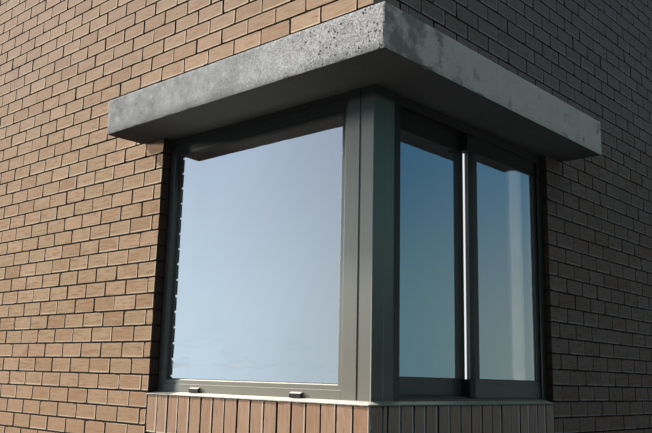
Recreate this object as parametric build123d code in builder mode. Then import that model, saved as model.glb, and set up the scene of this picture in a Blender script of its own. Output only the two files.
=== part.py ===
"""Corner window: a brick wall corner with a fixed pane on one face, a two-sash slider
on the other, an aluminium post between them and a concrete hood over both.

Millimetres, +Z up. The origin is the outer corner of the brickwork at ground level.
The left wall runs along -X and faces -Y, the right wall runs along +Y and faces +X.
"""

import os

from build123d import *

# Facing bricks and their coursing
brick_height = 76.2
brick_length = 193.7
brick_depth = 92.0
joint = 9.5
course = brick_height + joint
courses_below_sill = 18
courses_beside_window = 16
courses_above_window = 20

# Walls
arm_left = 3720.0
arm_right = 3450.0
inner_leaf_depth = 148.0
opening_left = 1475.0
opening_right = 1583.0

# Sill: a course of upright bricks under a sloping mortar bed
soldier_set_down = 10.0
bed_rise = 14.0
bed_nose = 2.0

# Concrete hood, which is also the lintel of both openings
hood_thickness = 192.0
hood_out_left = 240.0
hood_out_right = 249.0
hood_bearing_left = 185.0
hood_bearing_right = 167.0
hood_arris = 6.0

# Inner window boards
board_thickness = 22.0
board_overhang = 20.0

# Window plan, measured from each wall face and from the corner
set_back_left = 60.0
set_back_right = 38.0
post_side = 79.0
post_wall = 3.0
post_arris = 2.5
cover_face = 68.0
cover_lap = 24.0
cover_lip = 3.0
cover_wall = 2.5
cover_arris = 1.2
perimeter_joint = 5.0
sealant_recess = 4.0
sealant_depth = 12.0

# Fixed frame and its glazing
frame_face = 40.0
frame_depth = 50.0
frame_wall = 2.5
frame_arris = 2.5
head_closer = 35.0
closer_set_back = 6.0
closer_wall = 2.5
bead_face = 24.0
bead_set_back = 3.0
bead_slope = 5.0
glass_set_back = 20.0
fixed_glass_thickness = 6.0
stop_leg = 14.0
stop_thickness = 4.0
glass_edge_clearance = 3.0

# Drain covers on the fixed frame's sill rail
drain_cover_width = 70.0
drain_cover_height = 26.0
drain_cover_front_height = 18.0
drain_cover_out = 14.0
drain_cover_places = (457.0, 1160.0)

# Sliding frame
slider_face = 45.0
slider_depth = 100.0
slider_wall = 3.0
track_base = 6.0
front_lip = 10.0
running_rail = 18.5
back_lip = 41.0
head_lip = 45.0

# Sashes
sash_front_outer = 12.0
sash_pitch = 50.0
sash_depth = 28.0
sash_rail = 64.0
sash_bead = 24.0
sash_bead_set_back = 3.0
sash_wall = 2.5
sash_engagement = 8.0
outer_meeting_stile = 38.0
inner_meeting_stile = 28.0
outer_jamb_stile = 45.0
inner_jamb_stile = 52.0
meeting_place = 878.0
meeting_gap = 15.0
sash_glass_thickness = 5.0
sash_glass_inset = 8.0
glass_groove = 12.0
glass_side_clearance = 0.3
running_groove = 6.0
running_groove_width = 9.0
seat_clearance = 0.3
interlock_thickness = 2.5
interlock_clearance = 1.5
interlock_hook = 10.0
block_length = 48.0
block_arris = 2.0

# Derived levels
sill_line = courses_below_sill * course
head_line = sill_line + courses_beside_window * course
wall_top = head_line + courses_above_window * course
soldier_top = sill_line - soldier_set_down
soldier_bottom = soldier_top - brick_length
frame_foot = soldier_top + bed_rise
hood_bottom = head_line - joint / 2
hood_top = hood_bottom + hood_thickness
wall_depth = brick_depth + inner_leaf_depth
hood_end_left = opening_left + hood_bearing_left
hood_end_right = opening_right + hood_bearing_right

# The left face has its local x running away from the corner and its normal into the wall.
# The right face has its local x running away from the corner and its normal out of it.
left_face = Plane(origin=(0, 0, 0), x_dir=(-1, 0, 0), z_dir=(0, 1, 0))
right_face = Plane(origin=(0, 0, 0), x_dir=(0, 1, 0), z_dir=(1, 0, 0))
into_left = 1
into_right = -1

pieces = []


def keep(builder, label):
    """Names a finished piece and keeps it for export."""
    builder.part.label = label
    pieces.append(builder.part)


def wall_leaf(label, face, inward, outline, front, depth):
    """A flat leaf of masonry, from its elevation."""
    with BuildPart() as leaf:
        with BuildSketch(face.offset(inward * front)):
            with BuildLine():
                Polyline(*outline, close=True)
            make_face()
        extrude(amount=inward * depth)
    keep(leaf, label)


def rectangle_outline(start, end, low, high):
    """Corners of an upright rectangle, in distance from the corner and height."""
    return [(start, low), (end, low), (end, high), (start, high)]


def pier_outline(opening, arm, hood_end, low):
    """A pier beside the opening, notched at its top for the end of the hood."""
    return [
        (opening, low),
        (arm, low),
        (arm, hood_top),
        (hood_end, hood_top),
        (hood_end, hood_bottom),
        (opening, hood_bottom),
    ]


# Brickwork
wall_leaf("brick_base_left", left_face, into_left,
          rectangle_outline(0, arm_left, 0, soldier_bottom), 0, brick_depth)
wall_leaf("brick_base_right", right_face, into_right,
          rectangle_outline(brick_depth, arm_right, 0, soldier_bottom), 0, brick_depth)
wall_leaf("soldier_sill_left", left_face, into_left,
          rectangle_outline(0, opening_left, soldier_bottom, soldier_top), 0, brick_depth)
wall_leaf("soldier_sill_right", right_face, into_right,
          rectangle_outline(brick_depth, opening_right, soldier_bottom, soldier_top),
          0, brick_depth)
wall_leaf("brick_pier_left", left_face, into_left,
          pier_outline(opening_left, arm_left, hood_end_left, soldier_bottom),
          0, brick_depth)
wall_leaf("brick_pier_right", right_face, into_right,
          pier_outline(opening_right, arm_right, hood_end_right, soldier_bottom),
          0, brick_depth)
wall_leaf("brick_head_left", left_face, into_left,
          rectangle_outline(0, arm_left, hood_top, wall_top), 0, brick_depth)
wall_leaf("brick_head_right", right_face, into_right,
          rectangle_outline(brick_depth, arm_right, hood_top, wall_top), 0, brick_depth)

# Plastered blockwork behind the bricks
wall_leaf("inner_base_left", left_face, into_left,
          rectangle_outline(brick_depth, arm_left, 0, frame_foot), brick_depth, inner_leaf_depth)
wall_leaf("inner_base_right", right_face, into_right,
          rectangle_outline(wall_depth, arm_right, 0, frame_foot), brick_depth, inner_leaf_depth)
wall_leaf("inner_pier_left", left_face, into_left,
          pier_outline(opening_left, arm_left, hood_end_left, frame_foot),
          brick_depth, inner_leaf_depth)
wall_leaf("inner_pier_right", right_face, into_right,
          pier_outline(opening_right, arm_right, hood_end_right, frame_foot),
          brick_depth, inner_leaf_depth)
wall_leaf("inner_head_left", left_face, into_left,
          rectangle_outline(brick_depth, arm_left, hood_top, wall_top),
          brick_depth, inner_leaf_depth)
wall_leaf("inner_head_right", right_face, into_right,
          rectangle_outline(wall_depth, arm_right, hood_top, wall_top),
          brick_depth, inner_leaf_depth)

# Concrete hood: one casting round the corner
with BuildPart() as concrete_hood:
    with BuildSketch(Plane.XY.offset(hood_bottom)):
        with BuildLine():
            Polyline(
                (-hood_end_left, -hood_out_left),
                (hood_out_right, -hood_out_left),
                (hood_out_right, hood_end_right),
                (-wall_depth, hood_end_right),
                (-wall_depth, wall_depth),
                (-hood_end_left, wall_depth),
                close=True,
            )
        make_face()
    extrude(amount=hood_thickness)
    front_edges = concrete_hood.edges().filter_by(
        lambda e: e.center().X > hood_out_right / 2 or e.center().Y < -hood_out_left / 2
    )
    chamfer(front_edges, length=hood_arris)
keep(concrete_hood, "concrete_hood")


def bed_outline(set_back):
    """Section of the mortar bed: depth into the wall against height."""
    return [
        (0, soldier_top),
        (0, soldier_top + bed_nose),
        (set_back, frame_foot),
        (brick_depth, frame_foot),
        (brick_depth, soldier_top),
    ]


# Mortar bed on the upright bricks. The left length turns the corner with a hip.
left_end = Plane(origin=(-opening_left, 0, 0), x_dir=(0, 1, 0), z_dir=(1, 0, 0))
with BuildPart() as sill_mortar_left:
    with BuildSketch(left_end):
        with BuildLine():
            Polyline(*bed_outline(set_back_left), close=True)
        make_face()
    extrude(amount=opening_left)
    with BuildSketch(Plane.XZ):
        with BuildLine():
            Polyline(
                (0, soldier_top + bed_nose),
                (-set_back_right, frame_foot),
                (0, frame_foot),
                close=True,
            )
        make_face()
    extrude(amount=-brick_depth, mode=Mode.SUBTRACT)
keep(sill_mortar_left, "sill_mortar_left")

right_end = Plane(origin=(0, brick_depth, 0), x_dir=(-1, 0, 0), z_dir=(0, 1, 0))
with BuildPart() as sill_mortar_right:
    with BuildSketch(right_end):
        with BuildLine():
            Polyline(*bed_outline(set_back_right), close=True)
        make_face()
    extrude(amount=opening_right - brick_depth)
keep(sill_mortar_right, "sill_mortar_right")

# Inner window boards, from the back of each frame to just past the plaster
board_front_left = set_back_left + frame_depth
board_front_right = set_back_right + slider_depth
board_back = wall_depth + board_overhang
with BuildPart() as window_board_left:
    with BuildSketch(Plane.XY.offset(frame_foot)):
        with BuildLine():
            Polyline(
                (-opening_left, board_front_left),
                (-board_front_right, board_front_left),
                (-board_back, board_back),
                (-opening_left, board_back),
                close=True,
            )
        make_face()
    extrude(amount=board_thickness)
keep(window_board_left, "window_board_left")

with BuildPart() as window_board_right:
    with BuildSketch(Plane.XY.offset(frame_foot)):
        with BuildLine():
            Polyline(
                (-board_front_right, board_front_left),
                (-board_front_right, opening_right),
                (-board_back, opening_right),
                (-board_back, board_back),
                close=True,
            )
        make_face()
    extrude(amount=board_thickness)
keep(window_board_right, "window_board_right")

# Corner post: a square tube from the bed to the soffit
post_height = hood_bottom - frame_foot
post_x = -set_back_right - post_side
post_y = set_back_left
with BuildPart() as corner_post:
    with BuildSketch(Plane.XY.offset(frame_foot)):
        with Locations((post_x, post_y)):
            Rectangle(post_side, post_side, align=(Align.MIN, Align.MIN))
    extrude(amount=post_height)
    fillet(corner_post.edges().filter_by(Axis.Z), radius=post_arris)
    with BuildSketch(Plane.XY.offset(frame_foot)):
        with Locations((post_x + post_wall, post_y + post_wall)):
            Rectangle(post_side - 2 * post_wall, post_side - 2 * post_wall,
                      align=(Align.MIN, Align.MIN))
    extrude(amount=post_height, mode=Mode.SUBTRACT)
keep(corner_post, "corner_post")


def cover_tube(label, x_low, x_high, y_low, y_high, outer_edges, lap=0.0):
    """An upright box section beside the post, with eased arrises on its outer face.

    With a lap its face plate stands proud and runs on over the frame beside it."""
    with BuildPart() as cover:
        with BuildSketch(Plane.XY.offset(frame_foot)):
            with Locations((x_low, y_low)):
                Rectangle(x_high - x_low, y_high - y_low, align=(Align.MIN, Align.MIN))
        extrude(amount=post_height)
        fillet(cover.edges().filter_by(Axis.Z).filter_by(outer_edges), radius=cover_arris)
        with BuildSketch(Plane.XY.offset(frame_foot)):
            with Locations((x_low + cover_wall, y_low + cover_wall)):
                Rectangle(x_high - x_low - 2 * cover_wall, y_high - y_low - 2 * cover_wall,
                          align=(Align.MIN, Align.MIN))
        extrude(amount=post_height, mode=Mode.SUBTRACT)
        if lap > 0:
            with BuildSketch(Plane.XY.offset(frame_foot)):
                with Locations((x_low - lap, y_low - cover_lip)):
                    Rectangle(x_high - x_low + lap, cover_lip, align=(Align.MIN, Align.MIN))
            extrude(amount=post_height)
    keep(cover, label)


cover_left_end = post_x - cover_face + cover_lap
cover_right_end = post_y + post_side + cover_face
cover_tube("post_cover_left", cover_left_end, post_x, post_y, post_y + frame_depth,
           lambda e: e.center().Y < post_y + frame_depth / 2, cover_lap)
cover_tube("post_cover_right", post_x, -set_back_right, post_y + post_side, cover_right_end,
           lambda e: e.center().X > post_x + post_side / 2)

# Sealant between the outer jambs and the brick reveals
with BuildPart() as perimeter_sealant:
    with BuildSketch(Plane.XY.offset(frame_foot)):
        with Locations((-opening_left, set_back_left + sealant_recess)):
            Rectangle(perimeter_joint, sealant_depth, align=(Align.MIN, Align.MIN))
        with Locations((-set_back_right - sealant_recess, opening_right)):
            Rectangle(sealant_depth, perimeter_joint, align=(Align.MAX, Align.MAX))
    extrude(amount=post_height)
keep(perimeter_sealant, "perimeter_sealant")

# Fixed frame: two jambs with the head and sill rails between them
fixed_left = -opening_left + perimeter_joint
fixed_right = cover_left_end
fixed_top = hood_bottom - head_closer
fixed_height = fixed_top - frame_foot
with BuildPart() as fixed_frame_jambs:
    with BuildSketch(Plane.XY.offset(frame_foot)):
        with Locations((fixed_left, post_y), (fixed_right - frame_face, post_y)):
            Rectangle(frame_face, frame_depth, align=(Align.MIN, Align.MIN))
    extrude(amount=fixed_height)
    fillet(
        fixed_frame_jambs.edges().filter_by(Axis.Z).filter_by(
            lambda e: e.center().Y < post_y + frame_depth / 2
        ),
        radius=frame_arris,
    )
    with BuildSketch(Plane.XY.offset(frame_foot)):
        with Locations((fixed_left + frame_wall, post_y + frame_wall),
                       (fixed_right - frame_face + frame_wall, post_y + frame_wall)):
            Rectangle(frame_face - 2 * frame_wall, frame_depth - 2 * frame_wall,
                      align=(Align.MIN, Align.MIN))
    extrude(amount=fixed_height, mode=Mode.SUBTRACT)
keep(fixed_frame_jambs, "fixed_frame_jambs")

rail_start = fixed_left + frame_face
rail_end = fixed_right - frame_face
rail_plane = Plane(origin=(rail_start, 0, 0), x_dir=(0, 1, 0), z_dir=(1, 0, 0))
with BuildPart() as fixed_frame_rails:
    with BuildSketch(rail_plane):
        with Locations((post_y, frame_foot), (post_y, fixed_top - frame_face)):
            Rectangle(frame_depth, frame_face, align=(Align.MIN, Align.MIN))
    extrude(amount=rail_end - rail_start)
    fillet(
        fixed_frame_rails.edges().filter_by(Axis.X).filter_by(
            lambda e: e.center().Y < post_y + frame_depth / 2
        ),
        radius=frame_arris,
    )
    with BuildSketch(rail_plane):
        with Locations((post_y + frame_wall, frame_foot + frame_wall),
                       (post_y + frame_wall, fixed_top - frame_face + frame_wall)):
            Rectangle(frame_depth - 2 * frame_wall, frame_face - 2 * frame_wall,
                      align=(Align.MIN, Align.MIN))
    extrude(amount=rail_end - rail_start, mode=Mode.SUBTRACT)
keep(fixed_frame_rails, "fixed_frame_rails")

# Closing piece between the fixed frame's head and the soffit
closer_plane = Plane(origin=(fixed_left, 0, 0), x_dir=(0, 1, 0), z_dir=(1, 0, 0))
closer_front = post_y + closer_set_back
closer_depth = frame_depth - closer_set_back
with BuildPart() as frame_head_closer:
    with BuildSketch(closer_plane):
        with Locations((closer_front, fixed_top)):
            Rectangle(closer_depth, head_closer, align=(Align.MIN, Align.MIN))
        with Locations((closer_front + closer_wall, fixed_top + closer_wall)):
            Rectangle(closer_depth - 2 * closer_wall, head_closer - 2 * closer_wall,
                      align=(Align.MIN, Align.MIN), mode=Mode.SUBTRACT)
    extrude(amount=fixed_right - fixed_left)
keep(frame_head_closer, "frame_head_closer")

# Glazing bead in front of the fixed pane, with its inner edges sloped, and the stop behind
light_left = rail_start
light_right = rail_end
light_low = frame_foot + frame_face
light_high = fixed_top - frame_face
light_width = light_right - light_left
light_height = light_high - light_low
light_middle = ((light_left + light_right) / 2, (light_low + light_high) / 2)
glass_front = set_back_left + glass_set_back
stop_front = glass_front + fixed_glass_thickness


def middle_of_light(depth):
    """A plane over the fixed light at a depth, with its normal out of the wall."""
    return Plane(origin=(light_middle[0], depth, light_middle[1]),
                 x_dir=(1, 0, 0), z_dir=(0, -1, 0))


with BuildPart() as fixed_glazing_bead:
    with BuildSketch(middle_of_light(glass_front)):
        Rectangle(light_width, light_height)
        Rectangle(light_width - 2 * bead_face, light_height - 2 * bead_face,
                  mode=Mode.SUBTRACT)
    extrude(amount=glass_set_back - bead_set_back)
    bead_front = fixed_glazing_bead.faces().sort_by(Axis.Y)[0]
    chamfer(bead_front.inner_wires()[0].edges(), length=bead_slope)
keep(fixed_glazing_bead, "fixed_glazing_bead")

with BuildPart() as fixed_glazing_stop:
    with BuildSketch(middle_of_light(stop_front + stop_thickness)):
        Rectangle(light_width, light_height)
        Rectangle(light_width - 2 * stop_leg, light_height - 2 * stop_leg,
                  mode=Mode.SUBTRACT)
    extrude(amount=stop_thickness)
keep(fixed_glazing_stop, "fixed_glazing_stop")

with BuildPart() as fixed_glass:
    with BuildSketch(middle_of_light(stop_front)):
        Rectangle(light_width - 2 * glass_edge_clearance,
                  light_height - 2 * glass_edge_clearance)
    extrude(amount=fixed_glass_thickness)
keep(fixed_glass, "fixed_glass")

# Drain covers: little hoods with a sloping top, fixed to the sill rail's face
cover_section = Plane(origin=(0, 0, 0), x_dir=(0, 1, 0), z_dir=(1, 0, 0))
with BuildPart() as drain_covers:
    for place in drain_cover_places:
        with BuildSketch(cover_section.offset(-place - drain_cover_width / 2)):
            with BuildLine():
                Polyline(
                    (post_y, frame_foot),
                    (post_y - drain_cover_out, frame_foot),
                    (post_y - drain_cover_out, frame_foot + drain_cover_front_height),
                    (post_y, frame_foot + drain_cover_height),
                    close=True,
                )
            make_face()
        extrude(amount=drain_cover_width)
keep(drain_covers, "drain_covers")

# Sliding frame: jambs of E section, a sill with two running rails and a head channel
slider_left = cover_right_end
slider_right = opening_right - perimeter_joint
slider_front = -set_back_right
slider_back = slider_front - slider_depth


def jamb_section(web, reach):
    """Web and three legs of a jamb, in plan; reach is the way the legs point."""
    middle = (slider_front + slider_back) / 2
    with Locations(((slider_front + slider_back) / 2, web + reach * slider_wall / 2)):
        Rectangle(slider_depth, slider_wall)
    for leg in (slider_front - slider_wall / 2, middle, slider_back + slider_wall / 2):
        with Locations((leg, web + reach * slider_face / 2)):
            Rectangle(slider_wall, slider_face)


with BuildPart() as slider_jambs:
    with BuildSketch(Plane.XY.offset(frame_foot)):
        jamb_section(slider_left, 1)
        jamb_section(slider_right, -1)
    extrude(amount=post_height)
keep(slider_jambs, "slider_jambs")

track_start = slider_left + slider_face
track_end = slider_right - slider_face
track_length = track_end - track_start
track_plane = Plane(origin=(0, track_start, 0), x_dir=(-1, 0, 0), z_dir=(0, 1, 0))
outer_sash_front = set_back_right + sash_front_outer
outer_sash_back = outer_sash_front + sash_depth
inner_sash_front = outer_sash_front + sash_pitch
outer_rail_place = outer_sash_front + sash_depth / 2
inner_rail_place = inner_sash_front + sash_depth / 2
frame_back = set_back_right + slider_depth

with BuildPart() as slider_sill_track:
    with BuildSketch(track_plane):
        with Locations((set_back_right, frame_foot)):
            Rectangle(slider_depth, track_base, align=(Align.MIN, Align.MIN))
            Rectangle(slider_wall, front_lip, align=(Align.MIN, Align.MIN))
        with Locations((outer_rail_place, frame_foot), (inner_rail_place, frame_foot)):
            Rectangle(slider_wall, running_rail, align=(Align.CENTER, Align.MIN))
        with Locations((frame_back, frame_foot)):
            Rectangle(slider_wall, back_lip, align=(Align.MAX, Align.MIN))
    extrude(amount=track_length)
keep(slider_sill_track, "slider_sill_track")

channel_middle = (outer_sash_back + inner_sash_front) / 2
with BuildPart() as slider_head_track:
    with BuildSketch(track_plane):
        with Locations((set_back_right, hood_bottom)):
            Rectangle(slider_depth, track_base, align=(Align.MIN, Align.MAX))
            Rectangle(slider_wall, head_lip, align=(Align.MIN, Align.MAX))
        with Locations((channel_middle, hood_bottom)):
            Rectangle(slider_wall, head_lip, align=(Align.CENTER, Align.MAX))
        with Locations((frame_back, hood_bottom)):
            Rectangle(slider_wall, head_lip, align=(Align.MAX, Align.MAX))
    extrude(amount=track_length)
keep(slider_head_track, "slider_head_track")

# Sashes. Rails run the whole width and ride on the running rails; stiles stand between them.
sash_low = frame_foot + running_rail - running_groove + seat_clearance
sash_high = hood_bottom - head_lip + sash_engagement
rail_height = sash_rail + sash_bead
outer_sash_start = meeting_place
outer_sash_end = track_end + sash_engagement
inner_sash_start = track_start - sash_engagement
inner_sash_end = meeting_place - meeting_gap
groove_width = sash_glass_thickness + 2 * glass_side_clearance


def sash_rail_outline(front, base, up):
    """Section of a sash rail: base is its outer edge, up points to the glass."""
    top_of_box = base + up * sash_rail
    glass_edge = base + up * rail_height
    return [
        (front, base),
        (front, top_of_box),
        (front + sash_bead_set_back, top_of_box),
        (front + sash_bead_set_back, glass_edge),
        (front + sash_depth, glass_edge),
        (front + sash_depth, base),
    ]


def sash_rails(label, front, start, end):
    """Both rails of a sash, hollow, grooved for the running rail and for the glass."""
    glass_middle = front + sash_glass_inset + sash_glass_thickness / 2
    with BuildPart() as rails:
        with BuildSketch(Plane(origin=(0, start, 0), x_dir=(-1, 0, 0), z_dir=(0, 1, 0))):
            for base, up in ((sash_low, 1), (sash_high, -1)):
                with BuildLine():
                    Polyline(*sash_rail_outline(front, base, up), close=True)
                make_face()
                with Locations((front + sash_depth / 2,
                                base + up * (sash_rail + running_groove) / 2)):
                    Rectangle(sash_depth - 2 * sash_wall,
                              sash_rail - running_groove - 2 * sash_wall,
                              mode=Mode.SUBTRACT)
                with Locations((front + sash_depth / 2, base + up * running_groove / 2)):
                    Rectangle(running_groove_width, running_groove, mode=Mode.SUBTRACT)
                with Locations((glass_middle,
                                base + up * (rail_height - glass_groove / 2))):
                    Rectangle(groove_width, glass_groove, mode=Mode.SUBTRACT)
        extrude(amount=end - start)
    keep(rails, label)


def sash_stiles(label, front, start, end, start_width, end_width):
    """Both stiles of a sash, hollow, with a groove for the glass."""
    groove_x = -(front + sash_glass_inset + sash_glass_thickness / 2)
    centre_x = -(front + sash_depth / 2)
    low = sash_low + rail_height
    with BuildPart() as stiles:
        with BuildSketch(Plane.XY.offset(low)):
            with Locations((centre_x, start + start_width / 2)):
                Rectangle(sash_depth, start_width)
            with Locations((centre_x, end - end_width / 2)):
                Rectangle(sash_depth, end_width)
            with Locations((centre_x, start + (start_width - glass_groove) / 2)):
                Rectangle(sash_depth - 2 * sash_wall,
                          start_width - glass_groove - 2 * sash_wall, mode=Mode.SUBTRACT)
            with Locations((centre_x, end - (end_width - glass_groove) / 2)):
                Rectangle(sash_depth - 2 * sash_wall,
                          end_width - glass_groove - 2 * sash_wall, mode=Mode.SUBTRACT)
            with Locations((groove_x, start + start_width - glass_groove / 2),
                           (groove_x, end - end_width + glass_groove / 2)):
                Rectangle(groove_width, glass_groove, mode=Mode.SUBTRACT)
        extrude(amount=sash_high - rail_height - low)
    keep(stiles, label)


def sash_glass(label, front, start, end, start_width, end_width):
    """The pane of a sash, held in the grooves of its rails and stiles."""
    pane_start = start + start_width - glass_groove + seat_clearance
    pane_end = end - end_width + glass_groove - seat_clearance
    pane_low = sash_low + rail_height - glass_groove + seat_clearance
    pane_high = sash_high - rail_height + glass_groove - seat_clearance
    with BuildPart() as pane:
        with BuildSketch(right_face.offset(-(front + sash_glass_inset + sash_glass_thickness))):
            with Locations((pane_start, pane_low)):
                Rectangle(pane_end - pane_start, pane_high - pane_low,
                          align=(Align.MIN, Align.MIN))
        extrude(amount=sash_glass_thickness)
    keep(pane, label)


sash_rails("outer_sash_rails", outer_sash_front, outer_sash_start, outer_sash_end)
sash_stiles("outer_sash_stiles", outer_sash_front, outer_sash_start, outer_sash_end,
            outer_meeting_stile, outer_jamb_stile)
sash_glass("outer_sash_glass", outer_sash_front, outer_sash_start, outer_sash_end,
           outer_meeting_stile, outer_jamb_stile)
sash_rails("inner_sash_rails", inner_sash_front, inner_sash_start, inner_sash_end)
sash_stiles("inner_sash_stiles", inner_sash_front, inner_sash_start, inner_sash_end,
            inner_jamb_stile, inner_meeting_stile)
sash_glass("inner_sash_glass", inner_sash_front, inner_sash_start, inner_sash_end,
           inner_jamb_stile, inner_meeting_stile)

# Interlock: a hooked strip behind the outer meeting stile, just clear of the inner sash
interlock_low = sash_low + rail_height
interlock_high = sash_high - rail_height
hook_back = inner_sash_front - interlock_clearance
with BuildPart() as sash_interlock:
    with BuildSketch(Plane.XY.offset(interlock_low)):
        with BuildLine():
            Polyline(
                (-outer_sash_back, meeting_place),
                (-outer_sash_back, meeting_place + interlock_thickness),
                (-hook_back + interlock_thickness, meeting_place + interlock_thickness),
                (-hook_back + interlock_thickness, meeting_place + interlock_hook),
                (-hook_back, meeting_place + interlock_hook),
                (-hook_back, meeting_place),
                close=True,
            )
        make_face()
    extrude(amount=interlock_high - interlock_low)
keep(sash_interlock, "sash_interlock")

# Draught blocks: they cap the outer sash's rails and close the gap between the two sashes
inner_sash_back = inner_sash_front + sash_depth
block_start = meeting_place - block_length
block_outline = [
    (-outer_sash_front, block_start),
    (-outer_sash_front, meeting_place),
    (-inner_sash_back, meeting_place),
    (-inner_sash_back, inner_sash_end),
    (-inner_sash_front, inner_sash_end),
    (-inner_sash_front, block_start),
]
with BuildPart() as draught_blocks:
    for low, height in ((sash_low, rail_height),
                        (interlock_high, rail_height - sash_engagement)):
        with BuildSketch(Plane.XY.offset(low)):
            with BuildLine():
                Polyline(*block_outline, close=True)
            make_face()
        extrude(amount=height)
    front_arris = draught_blocks.edges().filter_by(Axis.Z).filter_by(
        lambda e: e.center().X > -outer_sash_back and e.center().Y < inner_sash_end)
    chamfer(front_arris, length=block_arris)
    with BuildSketch(Plane.XY.offset(sash_low)):
        with Locations((-outer_rail_place, block_start)):
            Rectangle(running_groove_width, block_length, align=(Align.CENTER, Align.MIN))
        with Locations((-inner_rail_place, inner_sash_end)):
            Rectangle(running_groove_width, meeting_gap, align=(Align.CENTER, Align.MIN))
    extrude(amount=running_groove, mode=Mode.SUBTRACT)
keep(draught_blocks, "draught_blocks")

os.makedirs("parts", exist_ok=True)
for piece in pieces:
    export_step(piece, f"parts/{piece.label}.step")
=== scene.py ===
"""Corner window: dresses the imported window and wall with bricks, concrete, mortar,
anodised metal and glass, and sets up a plain studio around them.

Metres, +Z up. The origin is the outer corner of the brickwork at ground level. The left
wall runs along -X and faces -Y, the right wall runs along +Y and faces +X.
"""

import math
import random

import bpy
from bpy.props import FloatProperty, FloatVectorProperty, IntProperty, PointerProperty
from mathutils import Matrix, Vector, noise


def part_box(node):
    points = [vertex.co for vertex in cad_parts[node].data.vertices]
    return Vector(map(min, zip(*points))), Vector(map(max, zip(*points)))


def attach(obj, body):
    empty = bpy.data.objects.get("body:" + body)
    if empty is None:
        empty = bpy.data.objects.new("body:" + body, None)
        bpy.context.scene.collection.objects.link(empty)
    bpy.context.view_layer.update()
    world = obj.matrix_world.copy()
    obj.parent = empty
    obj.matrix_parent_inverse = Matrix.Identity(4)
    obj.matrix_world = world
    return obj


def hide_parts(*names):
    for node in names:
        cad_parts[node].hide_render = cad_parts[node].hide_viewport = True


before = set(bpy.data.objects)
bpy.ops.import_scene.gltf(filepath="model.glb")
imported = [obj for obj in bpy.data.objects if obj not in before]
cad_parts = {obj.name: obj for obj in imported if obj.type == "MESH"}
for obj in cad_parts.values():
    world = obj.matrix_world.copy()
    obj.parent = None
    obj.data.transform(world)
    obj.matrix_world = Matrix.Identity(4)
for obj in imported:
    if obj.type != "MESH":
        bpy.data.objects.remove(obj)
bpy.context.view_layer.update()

bl_info = {
    "name": "Corner Window",
    "version": (1, 0, 0),
    "blender": (4, 5, 0),
    "location": "3D View > Sidebar > Corner Window",
    "description": "Bricks, hood, metalwork and glass of a corner window",
    "category": "Object",
}

BODY = "root"
SIDES = ("left", "right")

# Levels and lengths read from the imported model
SILL_LOW, SILL_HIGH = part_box("soldier_sill_left")
BASE_LOW, BASE_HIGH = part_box("brick_base_left")
HOOD_LOW, HOOD_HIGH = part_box("concrete_hood")
POST_LOW, POST_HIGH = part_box("corner_post")
FIXED_PANE_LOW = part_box("fixed_glass")[0]
ARM = {"left": -BASE_LOW.x, "right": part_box("brick_base_right")[1].y}
OPENING = {"left": -SILL_LOW.x, "right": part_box("soldier_sill_right")[1].y}
HOOD_END = {"left": -HOOD_LOW.x, "right": HOOD_HIGH.y}
BRICK_DEPTH = BASE_HIGH.y
WALL_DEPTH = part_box("inner_base_left")[1].y
WALL_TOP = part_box("brick_head_left")[1].z
# Between this place and the left jamb the frame and the sill lie in a painted shadow of the jamb
JAMB_SHADOW_X = SILL_LOW.x + 0.205

# Bricks stop just short of the inner leaf, of the wall's ends and of the other face
BRICK_BACK = BRICK_DEPTH - 0.001
END_GAP = 0.0005
CORNER_GAP = 0.0012
SHORTEST_BRICK = 0.02
# About the spacing of the points on a brick's face, along and up
FACE_STEP_ALONG = 0.034
FACE_STEP_UP = 0.028
# Set-in of a brick's face from the plane of the wall, to which each brick adds its own
FACE_SET_IN = 0.0020
# Chance that a corner of a brick is chipped
CHIP_CHANCE = 0.22
# About the spacing of the points on the mortar behind the bricks and the soldiers
MORTAR_STEP = 0.12
SOLDIER_MORTAR_STEP = 0.1
# Added to the seed, so that each wall and each soldier course has draws of its own
WALL_SEED = {"left": 0, "right": 50}
SOLDIER_SEED = {"left": 101, "right": 102}

# Colour and spread in degrees of the light of each lamp
LAMPS = {
    "key": ((1.0, 0.95, 0.86), 3.0),
    "front": ((1.0, 0.96, 0.89), 6.0),
    "side": ((0.93, 0.98, 1.0), 40.0),
    "back": ((0.95, 0.97, 1.0), 20.0),
}


def length_property(name, description, default, least=0.0):
    return FloatProperty(name=name, description=description, default=default, min=least,
                         unit="LENGTH")


def colour_property(name, description, default):
    return FloatVectorProperty(name=name, description=description, default=default,
                               subtype="COLOR", min=0.0, max=1.0)


def share_property(name, description, default):
    return FloatProperty(name=name, description=description, default=default, min=0.0,
                         max=1.0, subtype="FACTOR")


def lamp_direction(name, default):
    return FloatVectorProperty(name=name, default=default, subtype="DIRECTION",
                               description=f"Way that the {name.lower()} light travels")


def lamp_strength(name, default):
    return FloatProperty(name=f"{name} strength", default=default,
                         description=f"Strength of the {name.lower()} light")


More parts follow.
